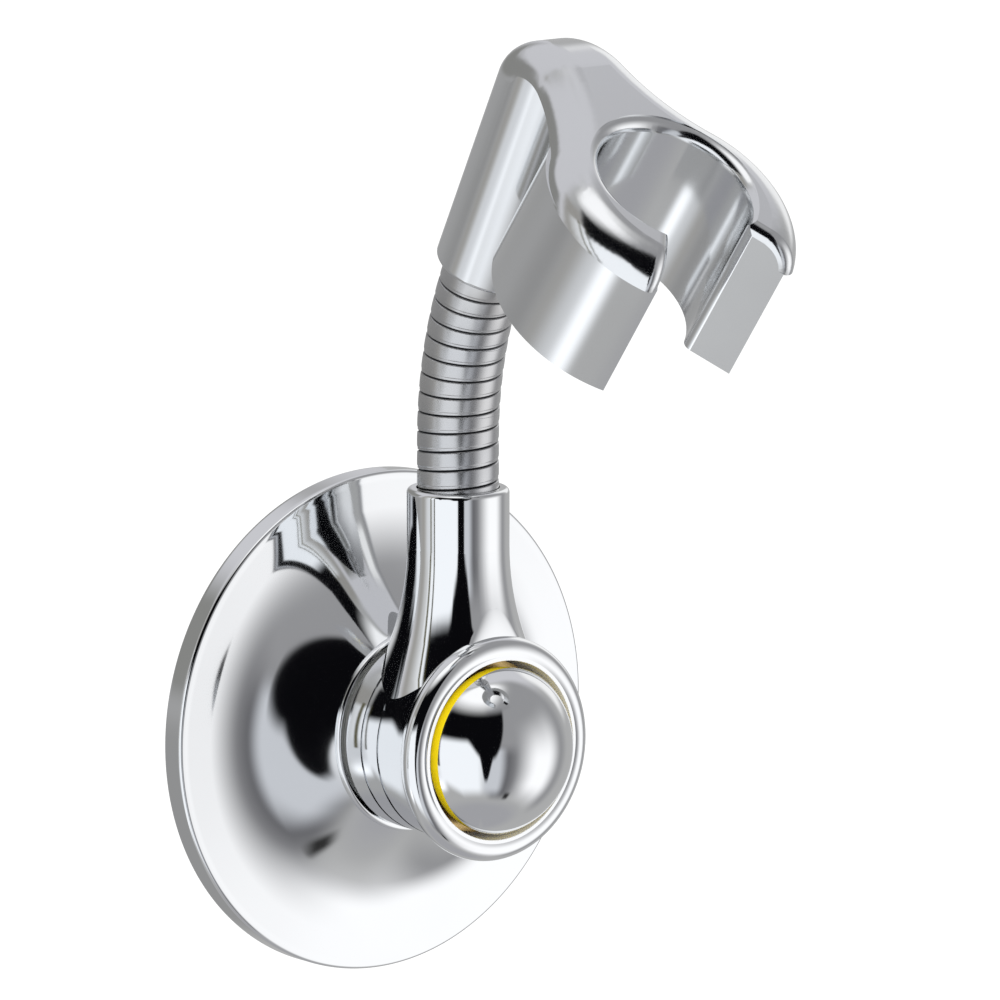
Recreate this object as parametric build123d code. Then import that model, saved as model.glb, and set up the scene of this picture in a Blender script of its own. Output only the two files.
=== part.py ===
"""Hand shower holder: a suction base with a press pump, a swivel elbow, a bendable neck and an open cradle.

The wall is the plane y = 0 and the holder stands in front of it, at negative y.
z is up and the hub axis is y.
All sizes are in millimetres. On the hub axis a point is written as (radius, distance from the wall).
"""
import os
from math import asin, ceil, cos, degrees, hypot, pi, radians, sin, sqrt, tan

from build123d import *

# Clearances that tie the pieces together
turn_gap = 0.08        # radial, between a turning or sliding piece and its guide
seat_gap = 0.05        # between pieces that are pushed or screwed together
face_gap = 0.05        # along an axis, between stacked washers and faces

# Wall flange
base_r = 40.0          # radius of the flange
base_gap = 0.1         # the rim's back edge stands this far off the wall
rim_top = 4.1          # top of the rim, from the wall
dish_r = 31.0          # radius where the face starts to sweep up
dish_rise = 0.5        # rise of the face from the rim to there
toe_r = 4.0            # radius of the concave corner between the face and the bell
toe_deg = 23.0         # slope of the bell where the corner ends
bell_r = 60.0          # radius of the concave bell up to the hub
hub_r = 16.3           # radius of the hub at the end of the bell
hub_land = 0.93        # plain length of the hub beyond the bell
hub_wall = 3.0         # thickness of the hub's front wall
shell_t = 2.4          # wall thickness of the flange
rim_round = 0.6        # rounding of the rim and hub edges

# Suction cup
cup_inset = 2.8        # the cup's edge sits this far inside the flange's edge
cup_lip = 3.0          # width of the flat sealing lip
cup_edge_t = 1.5       # thickness at the edge
cup_hollow = 2.8       # depth of the hollow behind the cup
cup_hub_r = 9.0        # radius of the thick middle
cup_step_r = 20.0      # radius where the cup starts to thicken towards the middle
cup_step_rise = 1.4    # rise of its front face from the edge to there
cup_hub_rise = 2.1     # further rise to the thick middle
cup_bulge = 0.2        # the edge bulges out by this much

# Pump
pump_r = 11.0          # outside of the pump cylinder, the journal for the elbow
pump_bore_r = 9.0      # inside of the pump cylinder
pump_floor = 2.0       # thickness of its floor
floor_rise = 1.7       # top of the floor in front of the shoulder's back
pump_over = 0.2        # the cylinder stands this far out of its nut
shoulder_r = 12.8      # shoulder behind the hub wall
shoulder_t = 2.6
stub_r = 4.5           # stub that carries the suction cup
stub_short = 0.3       # the stub ends this far inside the cup's middle
duct_r = 2.4           # air duct in the stub
stem_r = 1.0           # stem of the inlet valve
valve_r = 3.7          # flap of the inlet valve
valve_t = 0.7
valve_edge = 0.3       # the flap thins out over this width
bulb_r = 1.5           # bulb of the inlet valve behind the floor
bulb_l = 1.3
air_hole_r = 0.55      # air holes under the flap
piston_l = 4.0         # length of the piston
press = 3.2            # travel of the button
press_spare = 0.3      # room left over the pump cylinder at full travel
spring_l = 9.0         # length of the return spring at rest
spring_r = 6.2         # mean radius of the spring
wire_r = 0.5           # radius of its wire
spring_turns = 3.5
stop_t = 1.1           # thickness of the stop ring above the piston
stop_in_r = 6.6        # inside of the stop ring
stop_groove = 0.8      # depth of its groove in the pump cylinder
stop_slit = 2.0        # slit in the stop ring
seal_l = 2.0           # length of the piston seal
seal_depth = 1.9       # depth of its groove in the piston
seal_gap = 0.03        # radial, between the seal's lip and the pump's bore
seal_heel = 0.7        # thickness of the seal's inner lip
seal_lip = 0.4         # thickness of its outer lip

# Button
button_r = 14.3        # radius of the domed face
button_root_r = 13.1   # radius of the dome at its root
button_t = 1.6         # wall thickness of the dome
ring_out_r = 13.0      # outside of the yellow ring under the dome
ring_in_r = 12.0
ring_l = 2.0
ring_play = 0.1        # between the ring and the dome
rod_r = 4.5            # rod between the piston and the dome
spigot_r = 9.0         # spigot that the dome is pressed on
spigot_l = 2.0

# Elbow
washer_t = 0.9         # slip washer behind the elbow
slip_t = 0.6           # slip washer in front of the elbow's land
disc_t = 0.5           # disc spring: thickness and height
disc_h = 1.0
disc_play = 0.15       # radial room of the disc spring
washer_w = 2.8         # width of the rear washer
slip_play = 0.4        # radial room of the front washer in the recess
nut_t = 1.95           # retaining nut
nut_r = 13.7
nut_slot = 2.4         # width of its two spanner slots
barrel_r = 15.5        # radius of the elbow's barrel
barrel_l = 19.6        # length of the barrel, lip included
land_l = 10.6          # length of the bearing land in it
recess_r = 14.0        # recess in front of the land
lip_r = 14.2           # opening at the front lip
lip_taper = 3.1        # depth of the taper from the lip down to the recess
bead_r = 17.8          # largest radius of the rounded lip bead
bead_l = 4.2           # length of the bead
lip_land = 0.6         # width of the flat on the front lip
band_w = 3.6           # width of the two bands at the back of the barrel
band_groove = 0.5      # width and depth of the grooves beside them

# Neck socket on the elbow
neck_offset = 8.6      # neck axis in front of the barrel's back face
neck_top = 40.2        # top of the socket above the hub axis
neck_r = 8.05          # outside of the socket
flare_top = 31.0       # height where the socket starts to flare
flare_end = 17.0       # height where the flare runs on straight
flare_r = 45.0         # radius of the flare
flare_foot = 6.2       # height where the flare is buried in the barrel
socket_l = 12.0        # depth of the hose socket
neck_round = 0.8

# Hose, core and ferrules
hose_r = 6.4           # outside of the strip-wound hose
hose_in_r = 4.8        # inside of it
hose_fit = 0.15        # radial clearance of the hose in its sockets
core_r = 2.5           # bendable core
pitch = 3.0            # pitch of the winding
groove_w = 0.45        # width of the groove between turns
groove_d = 0.4         # depth of the groove
bend_z = 47.5          # height where the neck starts to bend
bend_r = 61.0          # radius of the neck's bend
bend_deg = 27.7        # angle of the bend as photographed
collar_t = 1.5         # collar of a ferrule
thread_r = 4.0         # threaded stub of a ferrule
thread_l = 8.0
thread_spare = 0.5     # depth of a threaded hole past its stub
core_in = 4.0          # depth of the core past a ferrule's collar face
core_spare = 0.2       # depth of the core's hole past the core
collar_play = 0.2      # a collar stands this far inside the hose's outside
crimp_l = 8.0          # length of a ferrule inside the hose

# Cradle, measured from the middle of its tube's mouth, with z along the tube
tube_r = 8.05          # outside of the tube
mouth_round = 0.7      # rounding of the tube's open end
reach = 32.5           # bore axis in front of the tube axis, at the top plate
rise = 38.2            # height of the top plate there
plate_deg = 10.5       # forward slope of the plate to the tube's cross-section
tip_deg = 9.5          # forward tilt of the bore to the tube
crown_ahead = 5.4      # the plate rolls off over the tube about a line this far in front of its axis
crown_over = 1.2       # the roll-off's circle passes this far behind the tube
bore_r = 12.5          # bore for the hand shower
bore_lip = 1.7         # rounding at the top of the bore
jaw_r = 20.4           # outside of the plate round the bore
jaw_ahead = 1.0        # the jaws' outer circle is centred this far in front of the bore
jaw_step = 0.3         # the jaws' walls stand this far inside the plate's edge
jaw_lap = 0.3          # the jaws run this far up into the plate
jaw_h = 26.2           # height of the jaws on the bore axis
plate_t = 5.0          # thickness of the top plate
roll_r = 6.0           # rounding of the plate's outer edge
tip_roll = 1.8         # rounding of the tips' upper edges
waist_r = 32.0         # concave radius from the tube to the jaws
web_w = 6.0            # width of the web between tube and jaws
gap_w = 15.0           # width of the opening between the jaws, at the bore
gap_flare = 35.0       # each tip face opens outward by this angle
tip_round = 1.6        # rounding between the tip faces and the bore


def at(r, d):
    """Point of a hub profile in the sketch plane, from its radius and its distance from the wall."""
    return (r, -d)


def lathe(points):
    """Solid turned about the hub axis from a closed outline of (radius, distance) points."""
    return revolve(make_face(Polyline(*[at(r, d) for r, d in points], close=True)), Axis.Y)


def lathe_curves(*curves):
    """Solid turned about the hub axis from curves that close an outline."""
    return revolve(make_face(Curve() + list(curves)), Axis.Y)


def ring(inner, outer, start, end):
    """Plain ring on the hub axis between two distances from the wall."""
    return lathe([(inner, start), (outer, start), (outer, end), (inner, end)])


def arc_about(center, start, end):
    """Arc from start to end about a centre, the short way round, in (radius, distance)."""
    radius = hypot(start[0] - center[0], start[1] - center[1])
    mx = start[0] + end[0] - 2 * center[0]
    my = start[1] + end[1] - 2 * center[1]
    scale = radius / hypot(mx, my)
    middle = (center[0] + mx * scale, center[1] + my * scale)
    return ThreePointArc(at(*start), at(*middle), at(*end))


def rod_between(radius, low, high):
    """Cylinder on the z axis between two heights."""
    return Pos(0, 0, low) * Cylinder(radius, high - low, align=(Align.CENTER, Align.CENTER, Align.MIN))


# Positions along the hub axis, from the wall outward
face_len = hypot(base_r - dish_r, dish_rise)
normal = (dish_rise / face_len, (base_r - dish_r) / face_len)
dish_top = rim_top + dish_rise
toe_c = (dish_r + toe_r * normal[0], dish_top + toe_r * normal[1])
bell_normal = (sin(radians(toe_deg)), cos(radians(toe_deg)))
bell_c = (toe_c[0] + (bell_r - toe_r) * bell_normal[0], toe_c[1] + (bell_r - toe_r) * bell_normal[1])
bell_start = (bell_c[0] - bell_r * bell_normal[0], bell_c[1] - bell_r * bell_normal[1])
bell_end = bell_c[1] - sqrt(bell_r**2 - (bell_c[0] - hub_r) ** 2)
hub_top = bell_end + hub_land
hub_inside = hub_top - hub_wall
hub_bore_r = pump_r + seat_gap
shoulder_back = hub_inside - shoulder_t
pump_floor_top = shoulder_back + floor_rise
elbow_back = hub_top + washer_t + 2 * face_gap
elbow_front = elbow_back + barrel_l
land_front = elbow_back + land_l
slip_front = land_front + face_gap + slip_t
disc_front = slip_front + face_gap + disc_h
nut_front = disc_front + face_gap + nut_t
pump_end = nut_front + pump_over
piston_back = pump_floor_top + spring_l
piston_front = piston_back + piston_l
cap_back = pump_end + press + press_spare
cap_front = cap_back + ring_l + ring_play


def make_wall_flange():
    """Plated shell: rolled rim, shallow face and a concave bell up to the hub, hollow behind."""
    inner_start = (dish_r - shell_t * normal[0], dish_top - shell_t * normal[1])
    inner_toe = (bell_start[0] - shell_t * bell_normal[0], bell_start[1] - shell_t * bell_normal[1])
    inner_end = (bell_c[0] - sqrt((bell_r + shell_t) ** 2 - (bell_c[1] - hub_inside) ** 2), hub_inside)
    rim_in = base_r - shell_t
    rim_inside = inner_start[1] - (rim_in - inner_start[0]) * normal[0] / normal[1]
    outline = make_face(
        Curve()
        + [
            Polyline(at(rim_in, base_gap), at(base_r, base_gap), at(base_r, rim_top), at(dish_r, dish_top)),
            arc_about(toe_c, (dish_r, dish_top), bell_start),
            arc_about(bell_c, bell_start, (hub_r, bell_end)),
            Polyline(at(hub_r, bell_end), at(hub_r, hub_top), at(hub_bore_r, hub_top),
                     at(hub_bore_r, hub_inside), at(*inner_end)),
            arc_about(bell_c, inner_end, inner_toe),
            arc_about(toe_c, inner_toe, inner_start),
            Polyline(at(*inner_start), at(rim_in, rim_inside), at(rim_in, base_gap)),
        ]
    )
    corners = [v for v in outline.vertices()
               if hypot(v.X - base_r, v.Y + rim_top) < 0.01 or hypot(v.X - hub_r, v.Y + hub_top) < 0.01]
    return revolve(fillet(corners, rim_round), Axis.Y)


def make_suction_cup():
    """Soft disc with a hollow back, a flat sealing lip and a thick middle that grips the stub."""
    edge = base_r - cup_inset
    hole = stub_r + seat_gap
    shelf = cup_edge_t + cup_step_rise
    return lathe([
        (hole, cup_hollow), (cup_hub_r, cup_hollow), (edge - cup_lip, 0), (edge, 0),
        (edge + cup_bulge, cup_edge_t / 2), (edge, cup_edge_t), (cup_step_r, shelf),
        (cup_hub_r, shelf + cup_hub_rise), (cup_hub_r, shoulder_back), (hole, shoulder_back),
    ])


def make_pump_cylinder():
    """Cylinder with a valved floor, a shoulder behind the hub wall and a stub for the suction cup."""
    groove = (piston_front + face_gap, piston_front + face_gap + stop_t + 2 * face_gap)
    deep = pump_bore_r + stop_groove
    stub_end = cup_hollow + stub_short
    floor_back = pump_floor_top - pump_floor
    body = lathe([
        (duct_r, stub_end), (stub_r, stub_end), (stub_r, shoulder_back), (shoulder_r, shoulder_back),
        (shoulder_r, hub_inside), (pump_r, hub_inside), (pump_r, pump_end), (pump_bore_r, pump_end),
        (pump_bore_r, groove[1]), (deep, groove[1]), (deep, groove[0]), (pump_bore_r, groove[0]),
        (pump_bore_r, pump_floor_top), (stem_r + turn_gap, pump_floor_top), (stem_r + turn_gap, floor_back),
        (duct_r, floor_back),
    ])
    hole = Pos(0, -pump_floor_top, 0) * Rot(90, 0, 0) * Cylinder(air_hole_r, 3 * pump_floor)
    spread = (stem_r + turn_gap + duct_r) / 2
    for angle in (0, 90, 180, 270):
        body -= Rot(0, angle, 0) * Pos(spread, 0, 0) * hole
    return body


def make_inlet_valve():
    """Rubber flap on the pump floor, held by a stem with a bulb behind the floor."""
    back = pump_floor_top - pump_floor
    top = pump_floor_top
    return lathe([
        (0, top + valve_t), (valve_r - valve_edge, top + valve_t / 2), (valve_r, top), (stem_r, top),
        (stem_r, back - face_gap), (bulb_r, back - face_gap), (bulb_r, back - bulb_l / 2),
        (stem_r, back - bulb_l), (0, back - bulb_l),
    ])


def make_return_spring():
    """Open coil spring between the pump floor and the piston."""
    rise_l = spring_l - 2 * wire_r - 2 * face_gap
    coil = Helix(rise_l / spring_turns, rise_l, spring_r)
    section = Plane(origin=coil @ 0, z_dir=coil % 0) * RegularPolygon(wire_r, 6)
    wire = sweep(section, path=coil, is_frenet=True)
    return Pos(0, -(pump_floor_top + wire_r + face_gap), 0) * Rot(90, 0, 0) * wire


def make_stop_ring():
    """Snap ring in the pump cylinder that stops the piston at the top of its stroke."""
    start = piston_front + 2 * face_gap
    body = ring(stop_in_r, pump_bore_r + stop_groove - seat_gap, start, start + stop_t)
    return body - Pos(0, -start, -pump_bore_r) * Box(stop_slit, 4 * stop_t, pump_bore_r)


def make_plunger():
    """Piston, rod and cap plate in one moulding, with a groove for the seal and a spigot for the dome."""
    piston_r = pump_bore_r - turn_gap
    groove_r = piston_r - seal_depth
    mid = (piston_back + piston_front) / 2
    return lathe([
        (0, piston_back), (piston_r, piston_back), (piston_r, mid - seal_l / 2), (groove_r, mid - seal_l / 2),
        (groove_r, mid + seal_l / 2), (piston_r, mid + seal_l / 2), (piston_r, piston_front),
        (rod_r, piston_front), (rod_r, cap_back), (ring_in_r - seat_gap, cap_back),
        (ring_in_r - seat_gap, cap_front), (spigot_r, cap_front), (spigot_r, cap_front + spigot_l),
        (0, cap_front + spigot_l),
    ])


def make_piston_seal():
    """Cup seal in the piston's groove; its lip points into the pump."""
    piston_r = pump_bore_r - turn_gap
    inner = piston_r - seal_depth + seat_gap
    outer = pump_bore_r - seal_gap
    start = (piston_back + piston_front - seal_l) / 2 + face_gap
    end = start + seal_l - 2 * face_gap
    root = (start + end) / 2
    return lathe([
        (inner, start), (inner + seal_lip, start), (inner + seal_heel, root), (outer - seal_heel, root),
        (outer - seal_lip, start), (outer, start), (outer, root), (outer - seal_lip / 2, end), (inner, end),
    ])


def make_warning_ring():
    """Coloured ring under the dome's edge that shows while the button stands out."""
    return ring(ring_in_r, ring_out_r, cap_back, cap_back + ring_l)


def make_button_dome():
    """Hollow dome pressed on the plunger's spigot."""
    centre = cap_front - sqrt(button_r**2 - button_root_r**2)
    apex = centre + button_r
    inner = button_r - button_t
    socket_top = cap_front + spigot_l + face_gap
    rim = spigot_r + seat_gap
    top_r = sqrt(inner**2 - (socket_top - centre) ** 2)
    return lathe_curves(
        Polyline(at(rim, socket_top), at(rim, cap_front), at(button_root_r, cap_front)),
        arc_about((0, centre), (button_root_r, cap_front), (0, apex)),
        Line(at(0, apex), at(0, centre + inner)),
        arc_about((0, centre), (0, centre + inner), (top_r, socket_top)),
        Line(at(top_r, socket_top), at(rim, socket_top)),
    )


def make_rear_washer():
    """Slip washer between the hub and the back of the elbow."""
    start = hub_top + face_gap
    inner = pump_r + turn_gap
    return ring(inner, inner + washer_w, start, start + washer_t)


def make_front_washer():
    """Slip washer in front of the elbow's land."""
    return ring(pump_r + turn_gap, recess_r - slip_play, land_front + face_gap, slip_front)


def make_disc_spring():
    """Conical spring washer that keeps the swivel stiff."""
    start = slip_front + face_gap
    end = start + disc_h
    inner, outer = pump_r + disc_play, nut_r - disc_play
    return lathe([(outer, start), (outer, start + disc_t), (inner, end), (inner, end - disc_t)])


def make_retaining_nut():
    """Round nut on the end of the pump cylinder, with two spanner slots."""
    start = nut_front - nut_t
    body = ring(pump_r + seat_gap, nut_r, start, nut_front)
    slot = Pos(0, -nut_front, 0) * Box(3 * nut_r, nut_t, nut_slot)
    return body - slot


def make_swivel_elbow():
    """Casting that turns on the pump cylinder: banded barrel, rounded lip and a flared hose socket."""
    neck_d = elbow_back + neck_offset
    long = 3 * barrel_l
    barrel = ring(0, barrel_r, elbow_back - long, elbow_back + long)
    for n in (1, 2):
        d = elbow_back + n * (band_w + band_groove)
        barrel -= ring(barrel_r - band_groove, barrel_r + 1, d - band_groove, d)
    drop = flare_top - flare_end
    slope = drop / sqrt(flare_r**2 - drop**2)
    end_r = neck_r + flare_r - sqrt(flare_r**2 - drop**2)
    mid_drop = flare_r * sin(asin(drop / flare_r) / 2)
    mid_r = neck_r + flare_r - sqrt(flare_r**2 - mid_drop**2)
    foot_r = end_r + slope * (flare_end - flare_foot)
    side = Curve() + [
        Polyline((neck_r, flare_top), (neck_r, neck_top), (0, neck_top), (0, flare_foot),
                 (foot_r, flare_foot), (end_r, flare_end)),
        ThreePointArc((end_r, flare_end), (mid_r, flare_top - mid_drop), (neck_r, flare_top)),
    ]
    outline = make_face(side)
    rim = [v for v in outline.vertices() if hypot(v.X - neck_r, v.Y - neck_top) < 0.01]
    neck = Pos(0, -neck_d, 0) * revolve(Plane.XZ * fillet(rim, neck_round), Axis.Z)
    bead_mid = elbow_front - bead_l / 2
    body = (barrel + neck) & ring(0, 4 * barrel_r, elbow_back, bead_mid)
    bead_start = elbow_front - bead_l
    lip_flat = lip_r + lip_land
    body += lathe_curves(
        Polyline(at(lip_flat, elbow_front), at(recess_r - 1, elbow_front), at(recess_r - 1, bead_start),
                 at(barrel_r, bead_start)),
        ThreePointArc(at(barrel_r, bead_start), at(bead_r, bead_mid), at(lip_flat, elbow_front)),
    )
    body -= lathe([
        (0, elbow_back - 1), (pump_r + turn_gap, elbow_back - 1), (pump_r + turn_gap, land_front),
        (recess_r, land_front), (recess_r, elbow_front - lip_taper), (lip_r, elbow_front),
        (lip_r, elbow_front + 1), (0, elbow_front + 1),
    ])
    socket = neck_top - socket_l
    bores = rod_between(hose_r + hose_fit, socket, neck_top + 1)
    bores += rod_between(thread_r + seat_gap, socket - thread_l - thread_spare, socket + 1)
    return body - Pos(0, -neck_d, 0) * bores


# Centre line of the neck: up from the elbow, round the bend, then on along the cradle's tube
neck_y = -(elbow_back + neck_offset)
hose_z = neck_top - socket_l + collar_t
bend = radians(bend_deg)
mouth_at = (0, neck_y - bend_r * (1 - cos(bend)), bend_z + bend_r * sin(bend))
head = Plane(origin=mouth_at, x_dir=(1, 0, 0), z_dir=(0, -sin(bend), cos(bend)))
hose_in = socket_l - collar_t
arc_l = bend_r * bend


def centre_line(low_z, past_mouth):
    """Path from a height in the elbow's socket to a depth inside the cradle's tube."""
    middle = (0, neck_y - bend_r * (1 - cos(bend / 2)), bend_z + bend_r * sin(bend / 2))
    end = head.from_local_coords(Vector(0, 0, past_mouth))
    return Wire([
        Line((0, neck_y, low_z), (0, neck_y, bend_z)).edge(),
        ThreePointArc((0, neck_y, bend_z), middle, mouth_at).edge(),
        Line(mouth_at, end).edge(),
    ])


def neck_plane(s):
    """Plane square to the centre line at a length s above the start of the bend."""
    if s <= 0:
        return Plane(origin=(0, neck_y, bend_z + s), x_dir=(1, 0, 0), z_dir=(0, 0, 1))
    if s >= arc_l:
        return head.offset(s - arc_l)
    a = s / bend_r
    origin = (0, neck_y - bend_r * (1 - cos(a)), bend_z + bend_r * sin(a))
    return Plane(origin=origin, x_dir=(1, 0, 0), z_dir=(0, -sin(a), cos(a)))


def make_flexible_hose():
    """Strip-wound tube; the groove between its turns climbs to the right, one half turn after another."""
    path = centre_line(hose_z, hose_in)
    tube = sweep(Plane(origin=path @ 0, z_dir=path % 0) * (Circle(hose_r) - Circle(hose_in_r)), path=path)
    cutter = Cylinder(hose_r + 1, groove_w) - Cylinder(hose_r - groove_d, 2 * groove_w)
    front = split(cutter, bisect_by=Plane.XZ, keep=Keep.TOP)
    rear = split(cutter, bisect_by=Plane.XZ, keep=Keep.BOTTOM)
    lean = degrees(asin(pitch / (4 * hose_r)))
    start = neck_top - bend_z - 0.5 * pitch
    turns = ceil((arc_l - start) / pitch)
    cuts = []
    for n in range(turns):
        s = start + n * pitch
        cuts.append(neck_plane(s + 0.25 * pitch) * Rot(0, -lean, 0) * front)
        cuts.append(neck_plane(s + 0.75 * pitch) * Rot(0, lean, 0) * rear)
    return tube - cuts


def make_bend_core():
    """Soft metal rod that keeps the neck as it is bent."""
    path = centre_line(hose_z - core_in, hose_in + core_in)
    return sweep(Plane(origin=path @ 0, z_dir=path % 0) * Circle(core_r), path=path)


def make_ferrule():
    """End fitting, with the hose side up: threaded stub, collar and a crimp barrel with a blind hole."""
    body = rod_between(thread_r, -collar_t - thread_l, -collar_t)
    body += rod_between(hose_r - collar_play, -collar_t, 0)
    body += rod_between(hose_in_r - seat_gap, 0, crimp_l)
    return body - rod_between(core_r + seat_gap, -core_in - core_spare, crimp_l + 1)


def make_lower_ferrule():
    """Ferrule screwed into the elbow's socket."""
    return Pos(0, neck_y, hose_z) * make_ferrule()


def make_upper_ferrule():
    """The same ferrule, upside down in the cradle's tube."""
    return head * Pos(0, 0, hose_in) * Rot(180, 0, 0) * make_ferrule()


def toward(start, aim, length):
    """Point at a length from start on the way to aim."""
    k = length / hypot(aim[0] - start[0], aim[1] - start[1])
    return (start[0] + (aim[0] - start[0]) * k, start[1] + (aim[1] - start[1]) * k)


def plate_plan():
    """Outline of the plate along the tube: round over the tube, a concave waist, then round the jaws."""
    a, b = tube_r + waist_r, jaw_r + waist_r
    far = reach + jaw_ahead
    wy = -(far**2 + a**2 - b**2) / (2 * far)
    waist = (sqrt(a**2 - wy**2), wy)
    at_tube = toward((0, 0), waist, tube_r)
    at_jaw = toward((0, -far), waist, jaw_r)
    middle = toward(waist, ((at_tube[0] + at_jaw[0]) / 2, (at_tube[1] + at_jaw[1]) / 2), waist_r)
    right = [at_tube, middle, at_jaw]
    left = [(-x, y) for x, y in reversed(right)]
    return make_face(Curve() + [
        ThreePointArc(*right),
        ThreePointArc(at_jaw, (0, -far - jaw_r), left[0]),
        ThreePointArc(*left),
        ThreePointArc(left[2], (0, tube_r), at_tube),
    ])


# The plate's flat top runs tangent into the roll-off over the tube, in the plane of y and z
slope = radians(plate_deg)
crown_r = tube_r + crown_ahead + crown_over
seam_y = -crown_ahead - crown_r * sin(slope)
seam_z = rise + (seam_y + reach) * tan(slope)


def below_plate(depth):
    """All the space under the plate's top surface, or under the surface at a depth below it."""
    far = 4 * jaw_r
    r = crown_r - depth

    def on_crown(angle):
        return (-crown_ahead + r * sin(angle), seam_z - crown_r * cos(slope) + r * cos(angle))

    start, end = on_crown(-slope), on_crown(pi / 2)
    front = (start[0] - far * cos(slope), start[1] - far * sin(slope))
    outline = Curve() + [
        Line(front, start),
        ThreePointArc(start, on_crown(pi / 4), end),
        Polyline(end, (end[0], -far), (front[0], -far), front),
    ]
    return extrude(Plane.YZ * make_face(outline), far, both=True)


def opening_plan():
    """Opening between the jaws, in the plane square to the bore, and the same with the bore itself."""
    half = gap_w / 2
    inner = -sqrt(bore_r**2 - half**2)
    outer = -2 * jaw_r
    wide = half + (inner - outer) * tan(radians(gap_flare))
    right = [(half, 0), (half, inner), (wide, outer)]
    left = [(-x, y) for x, y in reversed(right)]
    gap = make_face(Polyline(*right, *left, close=True))
    both = Sketch() + [Circle(bore_r), gap]
    corners = [v for v in both.vertices() if hypot(abs(v.X) - half, v.Y - inner) < 0.01]
    return gap, fillet(corners, tip_round)


def edges_on_top(body):
    """Edges of the plate's top, on its flat and on its roll-off over the tube."""
    up = Vector(0, -sin(slope), cos(slope))
    flat = body.faces().filter_by(GeomType.PLANE).filter_by(lambda f: (f.normal_at() - up).length < 1e-4)
    crown = body.faces().filter_by(GeomType.CYLINDER).filter_by(lambda f: abs(f.radius - crown_r) < 1e-4)
    return [e for f in flat + crown for e in f.edges()]


def tip_edges(body, seat):
    """Upper edges of the two tip faces, where they meet the plate's top and its rolled edge."""
    found = []
    for side in (-1, 1):
        out = seat.x_dir * (-side * cos(radians(gap_flare))) - seat.y_dir * sin(radians(gap_flare))
        flat = body.faces().filter_by(GeomType.PLANE)
        for face in flat.filter_by(lambda f: (f.normal_at() - out).length < 1e-4):
            found += [e for e in face.edges() if (e @ 0.5 - e @ 0).cross(seat.z_dir).length > 0.05
                      and seat.to_local_coords(e @ 0.5).Z > -plate_t / 2]
    return found


def make_cradle():
    """Casting with a tube for the neck and an open ring for the hand shower, under one rolled plate."""
    tilt = radians(tip_deg)
    seat = Plane(origin=(0, -reach, rise), x_dir=(1, 0, 0), z_dir=(0, -sin(tilt), cos(tilt)))
    gap_face, mouth_face = opening_plan()
    gap = seat * extrude(gap_face, 2 * jaw_h, both=True)

    # A block over the tube and the ring, rolled over along its upper edge, then hollowed below the plate
    tube = rod_between(tube_r, 0, 3 * rise)
    body = (Pos(0, 0, rise / 2) * extrude(plate_plan(), 3 * rise) + tube) & below_plate(0)
    upper = [e for e in edges_on_top(body) if hypot((e @ 0.5).Y - seam_y, (e @ 0.5).Z - seam_z) > 0.01]
    body = body.fillet(roll_r, upper)
    body = body.fillet(mouth_round, body.edges().group_by(Axis.Z)[0])
    body -= below_plate(plate_t) - tube
    body -= gap
    body = body.fillet(tip_roll, tip_edges(body, seat))

    # Jaws under the plate, joined to the tube by a web
    ring_wall = Pos(0, -jaw_ahead) * Circle(jaw_r - jaw_step) + Pos(0, reach / 2) * Rectangle(web_w, reach)
    body += seat * extrude(ring_wall, -jaw_h) & below_plate(plate_t - jaw_lap)

    # Bore with its mouth, the rounding at its top, and the hole for the neck's end
    body -= seat * extrude(mouth_face, 2 * jaw_h, both=True)
    lip = bore_r + bore_lip
    middle = bore_lip * sin(pi / 4)
    rounding = Curve() + [
        Polyline((bore_r, -bore_lip), (0, -bore_lip), (0, jaw_h), (lip, jaw_h), (lip, 0)),
        ThreePointArc((lip, 0), (lip - middle, middle - bore_lip), (bore_r, -bore_lip)),
    ]
    body -= seat * revolve(Plane.XZ * make_face(rounding), Axis.Z)
    body -= rod_between(hose_r + hose_fit, -1, socket_l)
    body -= rod_between(thread_r + seat_gap, 0, socket_l + thread_l + thread_spare)
    return head * body


pieces = {
    "wall_flange": make_wall_flange,
    "suction_cup": make_suction_cup,
    "pump_cylinder": make_pump_cylinder,
    "inlet_valve": make_inlet_valve,
    "return_spring": make_return_spring,
    "stop_ring": make_stop_ring,
    "plunger": make_plunger,
    "piston_seal": make_piston_seal,
    "warning_ring": make_warning_ring,
    "button_dome": make_button_dome,
    "rear_washer": make_rear_washer,
    "front_washer": make_front_washer,
    "disc_spring": make_disc_spring,
    "retaining_nut": make_retaining_nut,
    "swivel_elbow": make_swivel_elbow,
    "lower_ferrule": make_lower_ferrule,
    "flexible_hose": make_flexible_hose,
    "bend_core": make_bend_core,
    "upper_ferrule": make_upper_ferrule,
    "cradle": make_cradle,
}

os.makedirs("parts", exist_ok=True)
for name, make in pieces.items():
    piece = make()
    export_step(piece, f"parts/{name}.step")
    size = piece.bounding_box().size
    print(f"{name}: {piece.volume:.1f} mm3, {size.X:.1f} x {size.Y:.1f} x {size.Z:.1f} mm")
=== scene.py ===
# %% [markdown]
# # A wall holder for a hand shower
#
# The holder sticks to a tiled wall with a suction base, carries a turning elbow and a short bendable
# neck, and ends in an open cradle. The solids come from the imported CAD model, and this lesson gives them
# their looks: chrome, steel, a yellow ring and a studio to reflect. It makes anew what needs a finer
# surface or has to bend: the round pieces of the base, the wound neck and a spring. It adds one small cap.

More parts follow.
